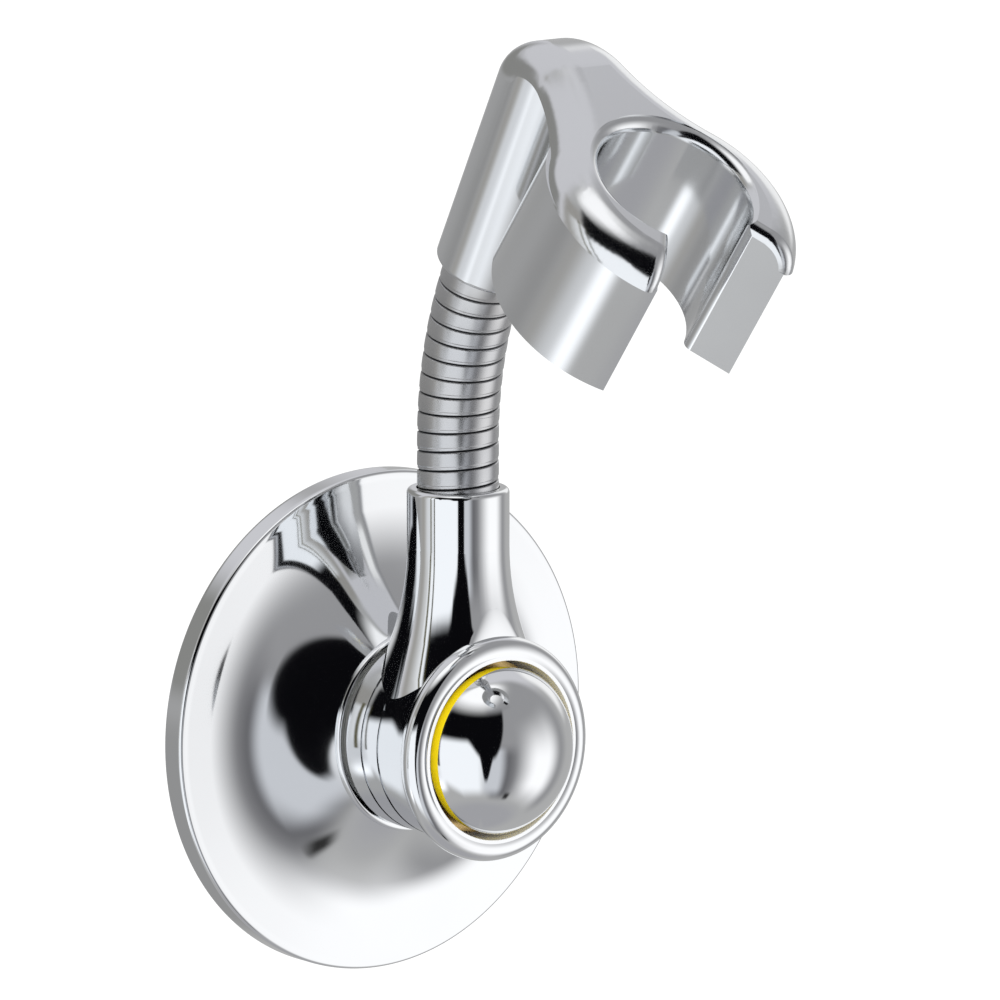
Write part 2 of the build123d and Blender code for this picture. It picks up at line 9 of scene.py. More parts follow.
import bmesh
import bpy
import numpy as np
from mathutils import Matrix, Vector


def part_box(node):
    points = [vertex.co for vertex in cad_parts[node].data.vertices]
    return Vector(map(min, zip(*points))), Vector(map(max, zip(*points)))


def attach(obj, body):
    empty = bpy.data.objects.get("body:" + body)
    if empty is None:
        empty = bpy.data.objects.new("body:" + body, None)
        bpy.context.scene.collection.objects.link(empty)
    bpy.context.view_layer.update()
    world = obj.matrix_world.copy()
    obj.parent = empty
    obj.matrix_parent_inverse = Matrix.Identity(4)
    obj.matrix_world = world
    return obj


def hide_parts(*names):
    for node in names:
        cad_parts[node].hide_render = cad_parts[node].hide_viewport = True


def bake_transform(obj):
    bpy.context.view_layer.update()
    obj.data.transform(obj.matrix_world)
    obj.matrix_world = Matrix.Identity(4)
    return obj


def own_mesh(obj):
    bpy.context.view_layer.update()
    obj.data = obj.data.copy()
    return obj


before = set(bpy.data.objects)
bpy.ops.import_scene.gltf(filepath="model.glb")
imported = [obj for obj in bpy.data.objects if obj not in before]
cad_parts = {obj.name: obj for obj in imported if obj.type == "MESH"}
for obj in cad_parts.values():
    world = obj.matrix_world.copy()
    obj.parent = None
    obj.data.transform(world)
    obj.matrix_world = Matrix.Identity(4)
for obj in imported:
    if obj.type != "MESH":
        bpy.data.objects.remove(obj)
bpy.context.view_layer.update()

mm = 0.001    # a millimetre in Blender's metres
scene = bpy.context.scene

# %% [markdown]
# ## Camera
#
# The holder is seen from its left front, a little from above, through a long lens. A long lens keeps the
# round flange an ellipse and the neck's sides nearly parallel, as a shop photograph does.
# The camera stands on a direction given by two angles, so the same angles serve the studio below.

# %% Camera
view_azimuth = np.radians(-38.4)      # to the left of straight ahead
view_elevation = np.radians(10.27)    # above the horizon
view_distance = 1.5
frame_pixels = 1000                   # width of the frame
focal_pixels = 9676                   # focal length in pixels of that frame
looked_at = Vector((-0.59, -34.58, 39.78)) * mm

toward_camera = Vector((np.sin(view_azimuth) * np.cos(view_elevation),
                        -np.cos(view_azimuth) * np.cos(view_elevation),
                        np.sin(view_elevation)))
camera = bpy.data.objects.new("camera", bpy.data.cameras.new("camera"))
camera.data.sensor_width = 36
camera.data.lens = camera.data.sensor_width * focal_pixels / frame_pixels
camera.data.clip_start, camera.data.clip_end = 0.05, 50
camera.location = looked_at + view_distance * toward_camera
camera.rotation_euler = (-toward_camera).to_track_quat("-Z", "Y").to_euler()
scene.collection.objects.link(camera)
scene.camera = camera
scene.view_settings.view_transform = "Standard"
print("camera at", [round(v, 3) for v in camera.location], "lens", round(camera.data.lens, 1))

# %% [markdown]
# ## Surfaces from arrays
#
# Every new piece here is a grid of points: one parameter runs along it and one runs round it. Working the
# whole grid out as one array is short and quick, and the formula stays in sight. A grid can close on
# itself in either direction, which makes tubes and rings without seams.

# %% Grid to mesh
weld_distance = 1e-7
sharp_angle = np.radians(40)    # edges that turn by more than this stay sharp


def surface(name, points, close_rows=False, close_columns=False, poles=False):
    """Mesh from a grid of points of shape (rows, columns, 3), its quads turned outwards.

    A quad joins four neighbours of the grid. The sum of the corner products of its triangles is six
    times the closed volume, so a negative sum means the quads face inwards and are turned over.
    With poles the first and last rows lie in one point each. These points are welded, which makes
    triangles of the quads there.
    """
    rows, columns = points.shape[:2]
    row_starts = np.arange(rows if close_rows else rows - 1)
    column_starts = np.arange(columns if close_columns else columns - 1)
    row, column = (index.ravel() for index in np.meshgrid(row_starts, column_starts, indexing="ij"))
    next_row, next_column = (row + 1) % rows, (column + 1) % columns
    corners = [(row, column), (next_row, column), (next_row, next_column), (row, next_column)]
    quads = np.stack([at_row * columns + at_column for at_row, at_column in corners], 1)
    flat = points.reshape(-1, 3)
    a, b, c, d = (flat[quads[:, k]] for k in range(4))
    volume = (a * np.cross(b, c)).sum() + (a * np.cross(c, d)).sum()
    if volume < 0:
        quads = quads[:, ::-1]
    mesh = bpy.data.meshes.new(name)
    mesh.from_pydata(flat.tolist(), [], quads.tolist())
    mesh.polygons.foreach_set("use_smooth", np.ones(len(quads), bool))
    if poles:
        welded = bmesh.new()
        welded.from_mesh(mesh)
        bmesh.ops.remove_doubles(welded, verts=welded.verts, dist=weld_distance)
        welded.to_mesh(mesh)
        welded.free()
    mesh.update()
    piece = bpy.data.objects.new(name, mesh)
    scene.collection.objects.link(piece)
    print(f"{name}: {len(mesh.vertices)} points, {len(mesh.polygons)} faces")
    return piece


def turned(name, radius, distance, columns, poles=False):
    """Turns an outline of radius and distance from the wall about the hub axis.

    The point at angle t is (radius cos t, -distance, radius sin t), for every outline point and every t.
    The outline closes on itself, or with poles starts and ends on the axis.
    """
    angle = np.linspace(0, 2 * np.pi, columns, endpoint=False)
    across, upright = radius[:, None] * np.cos(angle), radius[:, None] * np.sin(angle)
    ahead = np.broadcast_to(-distance[:, None], across.shape)
    points = np.stack([across, ahead, upright], -1)
    return surface(name, points, close_rows=not poles, close_columns=True, poles=poles)


def smooth_step(x, low, high):
    """Rises from 0 at low to 1 at high along 3t^2 - 2t^3, so it starts and ends level."""
    t = np.clip((x - low) / (high - low), 0, 1)
    return t * t * (3 - 2 * t)

# %% [markdown]
# ## Studio tent
#
# Bright chrome has no colour of its own: what it shows is the room. A photographer hangs a pale tent
# round it and leaves dark gaps, and these draw the black and white shapes that make metal look like
# metal. Here the tent is a sphere whose glow is a function of azimuth and elevation, seen by reflections
# only, so it neither lights the plastic nor hides the background.
# Its angles are in degrees, with azimuth 0 on the camera's side and growing to the camera's right.

# %% Grid of the tent
def patch(azimuth, elevation, left, right, low, high, soft):
    """1 inside a rectangle of angles, 0 outside: the product of a smooth step across each of its edges.

    An edge fades over soft to either side, one angle for all or one each for left, right, low and high.
    """
    fade = np.broadcast_to(soft, 4)
    past_left = smooth_step(azimuth, left - fade[0], left + fade[0])
    before_right = smooth_step(-azimuth, -right - fade[1], -right + fade[1])
    above_low = smooth_step(elevation, low - fade[2], low + fade[2])
    below_high = smooth_step(-elevation, -high - fade[3], -high + fade[3])
    return (past_left * before_right) * (above_low * below_high)


tent_radius = 6.0
steps_per_degree = 2
around = np.linspace(-180, 180, 360 * steps_per_degree + 1)
upward = np.linspace(-90, 90, 180 * steps_per_degree + 1)
azimuth, elevation = np.meshgrid(around, upward, indexing="ij")
print("tent grid:", azimuth.shape)

# %% [markdown]
# What hangs in the tent is a list of patches, each laid over those before it: pale walls, white panels and
# soft boxes for the bright shapes, and a dark room behind the camera for the black ones. Most are plain
# rectangles of angles. Three have a lower edge that is a curve, because a straight one would show.

# %% Glow of the tent
plain_cloth = 0.46
tail = 7                                                          # azimuth of a thin tail of the dark room
dark_low = -34 + 28 * smooth_step(abs(azimuth - tail), 1, 9)      # lower edge of that room: the tail itself,
dark_low = dark_low + 22 * smooth_step(tail - azimuth, 3, 26)     # a rise to its left
dark_low = dark_low + 60 * smooth_step(azimuth - tail, 8, 38)     # and a steeper one to its right
roof_low = np.interp(azimuth, (-60, 20, 60), (60, 60, 70))        # lower edge of the soft box overhead
box_low = np.interp(azimuth, (-60, -48, -30), (-44, -38, -50))    # and of the one below the camera

hangings = [    # colour, left, right, low, high, soft
    ((0.66, 0.66, 0.69), -200, -84, 4, 90, 12),                       # pale wall to the left, behind
    ((0.66, 0.66, 0.69), 122, 200, 34, 90, 12),                       # pale wall to the right, behind
    ((0.27, 0.27, 0.26), -170, -99, 2, 33, (14, 5, 6, 5)),            # shade on the left wall
    ((0.32, 0.32, 0.32), -165, -90, -50, 0, 10),                      # foot of the left wall
    ((0.33, 0.33, 0.34), 10, 128, -50, 66, (8, 10, 8, 10)),           # grey room to the right
    ((0.15, 0.15, 0.16), 14, 44, -56, 4, (8, 12, 8, 10)),             # shade between box and panel
    ((1.16, 1.16, 1.17), 60, 106, -48, 12, (18, 14, 14, 26)),         # white panel right of the camera
    ((0.36, 0.35, 0.33), -88, -58, -20, 46, 6),                       # warm grey side wall
    ((1.15, 1.15, 1.16), -66, 112, roof_low, 100, (14, 14, 9, 7)),    # soft box overhead
    ((1.0, 1.0, 1.0), 140, 170, 4, 38, 6),                            # window behind, to the right
    ((0.64, 0.66, 0.70), 2, 29, -50, 6, (7, 7, 9, 5)),                # pale cloth below the camera
    ((1.04, 1.07, 1.11), -70, 2, box_low, 27, (16, 7, 9, 3)),         # soft box below the camera
    ((0.74, 0.76, 0.79), -74, -55, -28, -8, (6, 5, 5, 5)),            # dimmer left side of that box
    ((1.35, 1.38, 1.42), -69, -54, -43, -34, 5),                      # bright corner below its left side
    ((0.003, 0.003, 0.004), -56, 60, dark_low, 51, (3, 4, 5, 6)),     # dark room behind the camera
    ((0.05, 0.045, 0.02), -55, -52.5, -16, 30, 1),                    # dark edge of the side wall
    ((0.12, 0.11, 0.06), -64, -61, -16, 30, 1),                       # and a fainter one beside it
    ((0.40, 0.40, 0.42), -180, 180, -100, -64, 8),                    # grey floor cloth
    ((0.03, 0.03, 0.03), 40, 49, -57, -49, 3),                        # foot of a stand
]
glow = np.full(azimuth.shape + (3,), plain_cloth)
for color, *edges in hangings:
    cover = patch(azimuth, elevation, *edges)[..., None]
    glow = glow * (1 - cover) + np.array(color) * cover
print("glow of the tent from", glow.min().round(3), "to", glow.max().round(3))

# %% Tent sphere
def empty_tree(owner):
    """Node tree of a material or a world, cleared of what Blender puts there."""
    owner.use_nodes = True
    owner.node_tree.nodes.clear()
    return owner.node_tree


turn, lift = np.radians(azimuth) + view_azimuth, np.radians(elevation)
outward = np.stack([np.sin(turn) * np.cos(lift), -np.cos(turn) * np.cos(lift), np.sin(lift)], -1)
tent = surface("studio_tent", tent_radius * outward)
opaque = np.ones(glow.shape[:2] + (1,))
glow_values = np.concatenate([glow, opaque], -1).astype(np.float32)
tent.data.color_attributes.new("glow", "FLOAT_COLOR", "POINT").data.foreach_set("color", glow_values.ravel())
tent_material = bpy.data.materials.new("tent_cloth")
tree = empty_tree(tent_material)
glow_color = tree.nodes.new("ShaderNodeAttribute")
glow_color.attribute_name = "glow"
emission = tree.nodes.new("ShaderNodeEmission")
output = tree.nodes.new("ShaderNodeOutputMaterial")
tree.links.new(glow_color.outputs["Color"], emission.inputs["Color"])
tree.links.new(emission.outputs["Emission"], output.inputs["Surface"])
tent.data.materials.append(tent_material)
tent.visible_camera = tent.visible_diffuse = tent.visible_transmission = tent.visible_shadow = False
tent_material.cycles.emission_sampling = "NONE"

# %% [markdown]
# ## Background
#
# The background is white, so the world is white to the camera and to reflections, and softer for
# everything that scatters light. One world can do both, because a shader may ask which kind of ray it
# answers.

# %% World
def seen_rays(tree):
    """1 for rays of the camera, of reflections and of transmission, 0 for scattered light.

    It is the largest of the three answers.
    """
    path = tree.nodes.new("ShaderNodeLightPath")
    seen = path.outputs["Is Camera Ray"]
    for kind in ("Is Glossy Ray", "Is Transmission Ray"):
        larger = tree.nodes.new("ShaderNodeMath")
        larger.operation = "MAXIMUM"
        tree.links.new(seen, larger.inputs[0])
        tree.links.new(path.outputs[kind], larger.inputs[1])
        seen = larger.outputs[0]
    return seen


soft_strength = 0.75
world = bpy.data.worlds.new("studio_world")
scene.world = world
tree = empty_tree(world)
soft_light = tree.nodes.new("ShaderNodeBackground")
soft_light.inputs["Strength"].default_value = soft_strength
white = tree.nodes.new("ShaderNodeBackground")
white.inputs["Color"].default_value = (1, 1, 1, 1)
choose = tree.nodes.new("ShaderNodeMixShader")
output = tree.nodes.new("ShaderNodeOutputWorld")
tree.links.new(seen_rays(tree), choose.inputs["Fac"])
tree.links.new(soft_light.outputs[0], choose.inputs[1])
tree.links.new(white.outputs[0], choose.inputs[2])
tree.links.new(choose.outputs[0], output.inputs["Surface"])
print("world:", world.name)

# %% [markdown]
# ## Floor and lamps
#
# The floor lies well below the holder, as under a wall fitting. It is pale cloth that brightens to white
# for the camera but still takes a shadow. Two lamps from the left front give the plastic and the rubber
# their light. The chrome doesn't mirror floor or lamps, because the tent holds all that it should show.

# %% Floor
floor_z = -0.26
floor_reach = 6.0
cloth_grey, grain_scale = (0.42, 0.44), 30
white_lift = 0.82
floor_sides = np.array([-floor_reach, floor_reach])
across, ahead = np.meshgrid(floor_sides, floor_sides, indexing="ij")
floor = surface("floor", np.stack([across, ahead, np.full_like(across, floor_z)], -1))
floor_material = bpy.data.materials.new("pale_floor")
tree = empty_tree(floor_material)
cloth = tree.nodes.new("ShaderNodeBsdfDiffuse")
grain = tree.nodes.new("ShaderNodeTexNoise")
grain.inputs["Scale"].default_value = grain_scale
place = tree.nodes.new("ShaderNodeTexCoord")
tree.links.new(place.outputs["Object"], grain.inputs["Vector"])
shade = tree.nodes.new("ShaderNodeMapRange")
shade.inputs["To Min"].default_value, shade.inputs["To Max"].default_value = cloth_grey
tree.links.new(grain.outputs["Fac"], shade.inputs["Value"])
tree.links.new(shade.outputs[0], cloth.inputs["Color"])
lift_white = tree.nodes.new("ShaderNodeEmission")
lift_white.inputs["Strength"].default_value = white_lift
add = tree.nodes.new("ShaderNodeAddShader")
choose = tree.nodes.new("ShaderNodeMixShader")
output = tree.nodes.new("ShaderNodeOutputMaterial")
tree.links.new(cloth.outputs[0], add.inputs[0])
tree.links.new(lift_white.outputs[0], add.inputs[1])
tree.links.new(seen_rays(tree), choose.inputs["Fac"])
tree.links.new(cloth.outputs[0], choose.inputs[1])
tree.links.new(add.outputs[0], choose.inputs[2])
tree.links.new(choose.outputs[0], output.inputs["Surface"])
floor.data.materials.append(floor_material)
floor.visible_glossy = False

# %% Lamps
lamps = {    # place, width and power
    "key": ((-0.9, -1.2, 0.9), 0.9, 12),
    "fill": ((-0.78, -1.05, 0.26), 0.3, 9),
}
for name, (lamp_place, width, power) in lamps.items():
    lamp = bpy.data.objects.new(name + "_lamp", bpy.data.lights.new(name + "_lamp", "AREA"))
    lamp.data.size, lamp.data.energy = width, power
    lamp.location = lamp_place
    lamp.rotation_euler = (Vector(lamp_place) - looked_at).to_track_quat("Z", "Y").to_euler()
    lamp.visible_glossy = False
    scene.collection.objects.link(lamp)
print("floor at", floor_z, "lamps", list(lamps))

# %% [markdown]
# ## Finishes
#
# Chrome plate is a mirror with a slight blue-grey tint. The holder has two kinds of it: the base, elbow
# and button are polished bright, and the cradle is polished less, so its reflections run soft. No surface
# is perfect, so a cloud texture moves each finish's colour and roughness a little, and the moulded rubber
# and plastic also have a faint ripple.

# %% Metal, rubber and plastic
cloud_scale, cloud_detail = 60, 4
ripple_scale, ripple_detail = 400, 2


def finish(name, color, other_color, rough, metallic, ripple=0.0):
    """Material whose colour and roughness drift between two values with a cloud texture.

    color and other_color are the ends of the colour drift, rough the ends of the roughness drift.
    ripple is the height in metres of a fine bump.
    """
    material = bpy.data.materials.new(name)
    material.use_nodes = True
    tree = material.node_tree
    shader = tree.nodes["Principled BSDF"]
    shader.inputs["Metallic"].default_value = metallic
    place = tree.nodes.new("ShaderNodeTexCoord")
    clouds = tree.nodes.new("ShaderNodeTexNoise")
    clouds.inputs["Scale"].default_value = cloud_scale
    clouds.inputs["Detail"].default_value = cloud_detail
    tree.links.new(place.outputs["Object"], clouds.inputs["Vector"])
    drift = tree.nodes.new("ShaderNodeMix")
    drift.data_type = "RGBA"
    drift.inputs["A"].default_value = (*color, 1)
    drift.inputs["B"].default_value = (*other_color, 1)
    tree.links.new(clouds.outputs["Fac"], drift.inputs["Factor"])
    tree.links.new(drift.outputs["Result"], shader.inputs["Base Color"])
    gloss = tree.nodes.new("ShaderNodeMapRange")
    gloss.inputs["To Min"].default_value, gloss.inputs["To Max"].default_value = rough
    tree.links.new(clouds.outputs["Fac"], gloss.inputs["Value"])
    tree.links.new(gloss.outputs["Result"], shader.inputs["Roughness"])
    if ripple:
        fine = tree.nodes.new("ShaderNodeTexNoise")
        fine.inputs["Scale"].default_value = ripple_scale
        fine.inputs["Detail"].default_value = ripple_detail
        tree.links.new(place.outputs["Object"], fine.inputs["Vector"])
        bump = tree.nodes.new("ShaderNodeBump")
        bump.inputs["Distance"].default_value = ripple
        tree.links.new(fine.outputs["Fac"], bump.inputs["Height"])
        tree.links.new(bump.outputs["Normal"], shader.inputs["Normal"])
    return material


metal, not_metal = 1.0, 0.0
bright_plate = ((0.83, 0.84, 0.85), (0.87, 0.88, 0.89), (0.04, 0.07), metal)
looks = {    # colour, other colour, roughness, metallic and ripple
    "mirror_chrome": bright_plate,
    "elbow_chrome": bright_plate,
    "satin_chrome": ((0.79, 0.80, 0.81), (0.83, 0.84, 0.85), (0.11, 0.15), metal),
    "steel_strip": ((0.54, 0.56, 0.60), (0.69, 0.67, 0.64), (0.22, 0.32), metal),
    "spring_steel": ((0.36, 0.36, 0.37), (0.46, 0.46, 0.47), (0.25, 0.4), metal),
    "brass": ((0.66, 0.47, 0.20), (0.74, 0.55, 0.26), (0.2, 0.34), metal),
    "soft_aluminium": ((0.62, 0.63, 0.64), (0.7, 0.71, 0.72), (0.35, 0.5), metal),
    "cup_rubber": ((0.026, 0.026, 0.028), (0.06, 0.06, 0.062), (0.42, 0.62), not_metal, 4e-5),
    "seal_rubber": ((0.02, 0.02, 0.02), (0.035, 0.035, 0.035), (0.5, 0.65), not_metal, 2e-5),
    "white_plastic": ((0.74, 0.74, 0.72), (0.79, 0.79, 0.77), (0.35, 0.45), not_metal, 1e-5),
    "slip_plastic": ((0.68, 0.67, 0.62), (0.73, 0.72, 0.67), (0.4, 0.5), not_metal, 1e-5),
    "yellow_plastic": ((0.86, 0.66, 0.008), (0.93, 0.73, 0.012), (0.3, 0.4), not_metal, 1e-5),
}
finishes = {name: finish(name, *look) for name, look in looks.items()}
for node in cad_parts.values():
    slot_name = node.data.materials[0].name.split(".")[0]
    node.data.materials[0] = finishes[slot_name]
print(len(finishes), "finishes on", len(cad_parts), "CAD pieces")

# %% [markdown]
# ## Bare recess
#
# Plating hardly reaches into a narrow recess, so the one round the button is taken to be bare, pale metal:
# past the dome it shows as a grey line and no mirror. It belongs to the elbow, so the elbow's own finish
# changes there: within a radius of the hub axis a second set of values takes over.

# %% Bare recess behind the elbow's lip
def mix_in(tree, factor, socket, value):
    """Blends a value into one input of a shader: 0 keeps what it had, 1 gives the value."""
    mix = tree.nodes.new("ShaderNodeMix")
    mix.data_type = "RGBA" if socket.type == "RGBA" else "FLOAT"
    share, first, second = [s for s in mix.inputs if s.enabled]
    first.default_value, second.default_value = socket.default_value, value
    if socket.is_linked:
        tree.links.new(socket.links[0].from_socket, first)
    tree.links.new(factor, share)
    tree.links.new([s for s in mix.outputs if s.enabled][0], socket)


def leave_bare(material, radius, bare):
    """Gives a finish other values, by the names of the shader's inputs, within a radius of the hub axis.

    The radius at a point is the square root of x squared plus z squared.
    """
    tree = material.node_tree
    place = tree.nodes.new("ShaderNodeTexCoord")
    flat = tree.nodes.new("ShaderNodeVectorMath")
    flat.operation = "MULTIPLY"
    flat.inputs[1].default_value = (1, 0, 1)
    length = tree.nodes.new("ShaderNodeVectorMath")
    length.operation = "LENGTH"
    tree.links.new(place.outputs["Object"], flat.inputs[0])
    tree.links.new(flat.outputs["Vector"], length.inputs[0])
    within = tree.nodes.new("ShaderNodeMath")
    within.operation = "LESS_THAN"
    within.inputs[1].default_value = radius
    tree.links.new(length.outputs["Value"], within.inputs[0])
    inputs = tree.nodes["Principled BSDF"].inputs
    for name, value in bare.items():
        mix_in(tree, within.outputs[0], inputs[name], value)


recess_radius = 14.3 * mm
# A rough casting scatters light, so it is set up like a pale stone and not like a mirror.
dull_casting = {"Base Color": (0.80, 0.80, 0.79, 1), "Metallic": not_metal, "Roughness": 0.5}
leave_bare(finishes["elbow_chrome"], recess_radius, dull_casting)
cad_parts["swivel_elbow"].data.materials[0] = finishes["elbow_chrome"]
print("elbow_chrome on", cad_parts["swivel_elbow"].name)

# %% [markdown]
# ## Gaps between the turns
#
# The gap between two turns of the strip is so narrow that hardly any light comes back out of it, which
# draws the dark lines round the neck. That shade is painted into the finish: the hose carries a number at
# each of its points, 1 in the gap and 0 on the strip, and the finish turns dark and dull with it.

# %% Painted shade in the gaps between the turns of the strip
def paint_shade_in_gaps(material, dark, dull):
    """Paints shade into a finish: mixes a dark, dull colour in wherever the piece's own gap attribute is 1.
    """
    tree = material.node_tree
    gap = tree.nodes.new("ShaderNodeAttribute")
    gap.attribute_name = "gap"
    inputs = tree.nodes["Principled BSDF"].inputs
    for name, value in (("Base Color", (*dark, 1)), ("Roughness", dull)):
        mix_in(tree, gap.outputs["Fac"], inputs[name], value)


# painted shade for the gaps between the turns, and how dull they are
painted_gap_shade, gap_rough = (0.02, 0.022, 0.028), 0.6
paint_shade_in_gaps(finishes["steel_strip"], painted_gap_shade, gap_rough)
print("dark gaps on", finishes["steel_strip"].name)

# %% [markdown]
# ## Outlines for turned pieces
#
# Flange, dome and ring are round about the hub axis, and on bright chrome every facet shows. Each is an
# outline turned about that axis: the outline's corners are rounded and its sweep is cut into many small
# steps, so that the black and white of the tent bend smoothly across it. An outline is built from arcs,
# rounded corners and straight runs, as pairs of a radius and a distance from the wall, in millimetres.

# %% Arcs, rounded corners and runs
def arc(centre, start, end, steps):
    """Points about a centre from start to end, the short way: the angle runs evenly between the two."""
    centre, start, end = map(np.array, (centre, start, end))
    radius = np.hypot(*(start - centre))
    first = np.arctan2(*(start - centre)[::-1])
    sweep = (np.arctan2(*(end - centre)[::-1]) - first + np.pi) % (2 * np.pi) - np.pi
    angle = first + sweep * np.linspace(0, 1, steps)
    return centre + radius * np.stack([np.cos(angle), np.sin(angle)], -1)


def rounded(before, corner, after, radius, steps):
    """Arc that rounds a corner between two straight runs, tangent to both.

    It touches each run at radius over the tangent of half the corner's angle, and its centre lies on the
    line that halves the corner, at radius over the sine of that half.
    """
    before, corner, after = map(np.array, (before, corner, after))
    back = (before - corner) / np.hypot(*(before - corner))
    on = (after - corner) / np.hypot(*(after - corner))
    half = np.arccos(np.clip(back @ on, -1, 1)) / 2
    touch = radius / np.tan(half)
    halving = (back + on) / np.hypot(*(back + on))
    return arc(corner + halving * radius / np.sin(half), corner + back * touch, corner + on * touch, steps)


def run(start, end, steps):
    """Straight run of evenly spaced points, which leaves out its own ends."""
    share = np.linspace(0, 1, steps + 2)[1:-1, None]
    return np.array(start) * (1 - share) + np.array(end) * share

# %% [markdown]
# ## Wall flange
#
# The flange is a plated shell that hides the suction cup: a rolled rim, a shallow face, and a concave bell
# that sweeps up to the hub. Its outline is the CAD's own but for the corner between face and bell. That is
# rounded more here, by a third of a millimetre at most, because reflections fade softly across it in the
# photograph. The larger arc touches the face and the bell, which gives its centre.

# %% Corners of the flange's outline
rim_radius, rim_back, rim_top = 40.0, 0.1, 4.1
dish_radius, dish_top = 31.0, 4.6
toe_radius, toe_slope = 4.0, np.radians(23)
bell_radius = 60.0
polish_radius = 22.0
hub_radius, hub_land, hub_wall = 16.3, 0.93, 3.0
hub_bore = 11.05
shell = 2.4

dish = np.array([dish_radius, dish_top])
face_normal = np.array([dish_top - rim_top, rim_radius - dish_radius])
face_normal /= np.hypot(*face_normal)
bell_normal = np.array([np.sin(toe_slope), np.cos(toe_slope)])
toe_centre = dish + toe_radius * face_normal
bell_start = toe_centre - toe_radius * bell_normal
bell_centre = bell_start + bell_radius * bell_normal
along = np.array([-face_normal[1], face_normal[0]])
off = bell_centre - dish - polish_radius * face_normal
reach_in = off @ along + np.sqrt((bell_radius - polish_radius) ** 2 - (off @ face_normal) ** 2)
polish_start = dish + reach_in * along
polish_centre = polish_start + polish_radius * face_normal
to_polish = polish_centre - bell_centre
polish_end = bell_centre + bell_radius * to_polish / np.hypot(*to_polish)
hub_start = bell_centre[1] - np.sqrt(bell_radius**2 - (bell_centre[0] - hub_radius) ** 2)
hub_top = hub_start + hub_land
hub_inside = hub_top - hub_wall
inner_start, inner_toe = dish - shell * face_normal, bell_start - shell * bell_normal
inner_depth = np.sqrt((bell_radius + shell) ** 2 - (bell_centre[1] - hub_inside) ** 2)
inner_end = (bell_centre[0] - inner_depth, hub_inside)
rim_inside = inner_start[1] - (rim_radius - shell - inner_start[0]) * face_normal[0] / face_normal[1]
print("polished corner between radii", polish_start[0].round(2), "and", polish_end[0].round(2))

# %% Wall flange
edge_round, back_round = 0.6, 0.15
rim_foot, rim_edge = (rim_radius, rim_back), (rim_radius, rim_top)
inner_foot = (rim_radius - shell, rim_back)
outline = np.concatenate([
    [inner_foot],
    rounded(inner_foot, rim_foot, rim_edge, back_round, steps=4),
    run((rim_radius, rim_back + back_round), (rim_radius, rim_top - edge_round), steps=6),
    rounded(rim_foot, rim_edge, dish, edge_round, steps=16),
    run((rim_radius - edge_round, rim_top), polish_start, steps=8),
    arc(polish_centre, polish_start, polish_end, steps=40),
    arc(bell_centre, polish_end, (hub_radius, hub_start), steps=48)[1:],
    rounded((hub_radius, hub_start), (hub_radius, hub_top), (hub_bore, hub_top), edge_round, steps=12),
    [(hub_bore, hub_top), (hub_bore, hub_inside)],
    arc(bell_centre, inner_end, inner_toe, steps=18),
    arc(toe_centre, inner_toe, inner_start, steps=8)[1:],
    [(rim_radius - shell, rim_inside)],
]) * mm
flange = turned("flange_shell", outline[:, 0], outline[:, 1], columns=320)
flange.data.set_sharp_from_angle(angle=sharp_angle)
flange.data.materials.append(finishes["mirror_chrome"])
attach(flange, "base")
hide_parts("wall_flange")

# %% [markdown]
# ## Button dome
#
# The button's dome is a hollow cap, a part of a sphere outside and inside, pressed onto the plunger's
# spigot. It mirrors the whole studio in a small spot, so its outline has many steps from root to apex.

# %% Button dome
dome_low, dome_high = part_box("button_dome")
root_distance, apex_distance = -dome_high.y / mm, -dome_low.y / mm
dome_radius, dome_root = 14.3, 13.1
dome_wall, spigot_hole, spigot_depth = 1.6, 9.05, 2.05
root_round = 0.12
root = np.array([dome_root, root_distance])
up_the_side = root + (0.6, 1.3)     # gives the slope of the dome's side at its root
side_start = root + (0.06, 0.13)    # where that side leaves the rounded root
dome_centre = apex_distance - dome_radius
inside = dome_radius - dome_wall
spigot_top = root_distance + spigot_depth
spigot_edge = np.sqrt(inside**2 - (spigot_top - dome_centre) ** 2)
outline = np.concatenate([
    arc((0, dome_centre), (0, dome_centre + inside), (spigot_edge, spigot_top), steps=24),
    [(spigot_hole, spigot_top), (spigot_hole, root_distance)],
    rounded((spigot_hole, root_distance), root, up_the_side, root_round, steps=5),
    arc((0, dome_centre), side_start, (0, apex_distance), steps=90),
]) * mm
dome = turned("dome_shell", outline[:, 0], outline[:, 1], columns=192, poles=True)
dome.data.set_sharp_from_angle(angle=sharp_angle)
dome.data.materials.append(finishes["mirror_chrome"])
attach(dome, "button")
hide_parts("button_dome")
print("dome root and apex in mm:", round(root_distance, 2), round(apex_distance, 2))

# %% [markdown]
# ## Yellow ring
#
# A plastic ring under the dome shows while the button stands out and warns that the suction has gone.
# Its outline is a rectangle with rounded corners, and the box of the CAD's ring gives its sides.

# %% Yellow ring under the dome
ring_low, ring_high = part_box("warning_ring")
ring_out, ring_in = ring_high.x / mm, 12.0
ring_round = 0.15
back, front = -ring_high.y / mm, -ring_low.y / mm
corners = [(ring_in, back), (ring_out, back), (ring_out, front), (ring_in, front)]
outline = np.concatenate([rounded(corners[k - 1], corners[k], corners[(k + 1) % 4], ring_round, steps=5)
                          for k in range(4)]) * mm
ring = turned("yellow_ring", outline[:, 0], outline[:, 1], columns=160)
ring.data.materials.append(finishes["yellow_plastic"])
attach(ring, "button")
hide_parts("warning_ring")

# %% [markdown]
# ## Neck
#
# The neck stands in the elbow's socket, leans forward in one arc and ends in the cradle's tube. Hose and
# core follow the same centre line, so it is a function of the length along it, and a second function puts
# points round it.

# %% Centre line of the neck
neck_y = -23.2849 * mm
socket_top = 40.2 * mm
bend_start = 47.5 * mm
bend_radius = 61.0 * mm
bend_angle = np.radians(27.7)
straight = bend_start - socket_top
free_length = straight + bend_radius * bend_angle


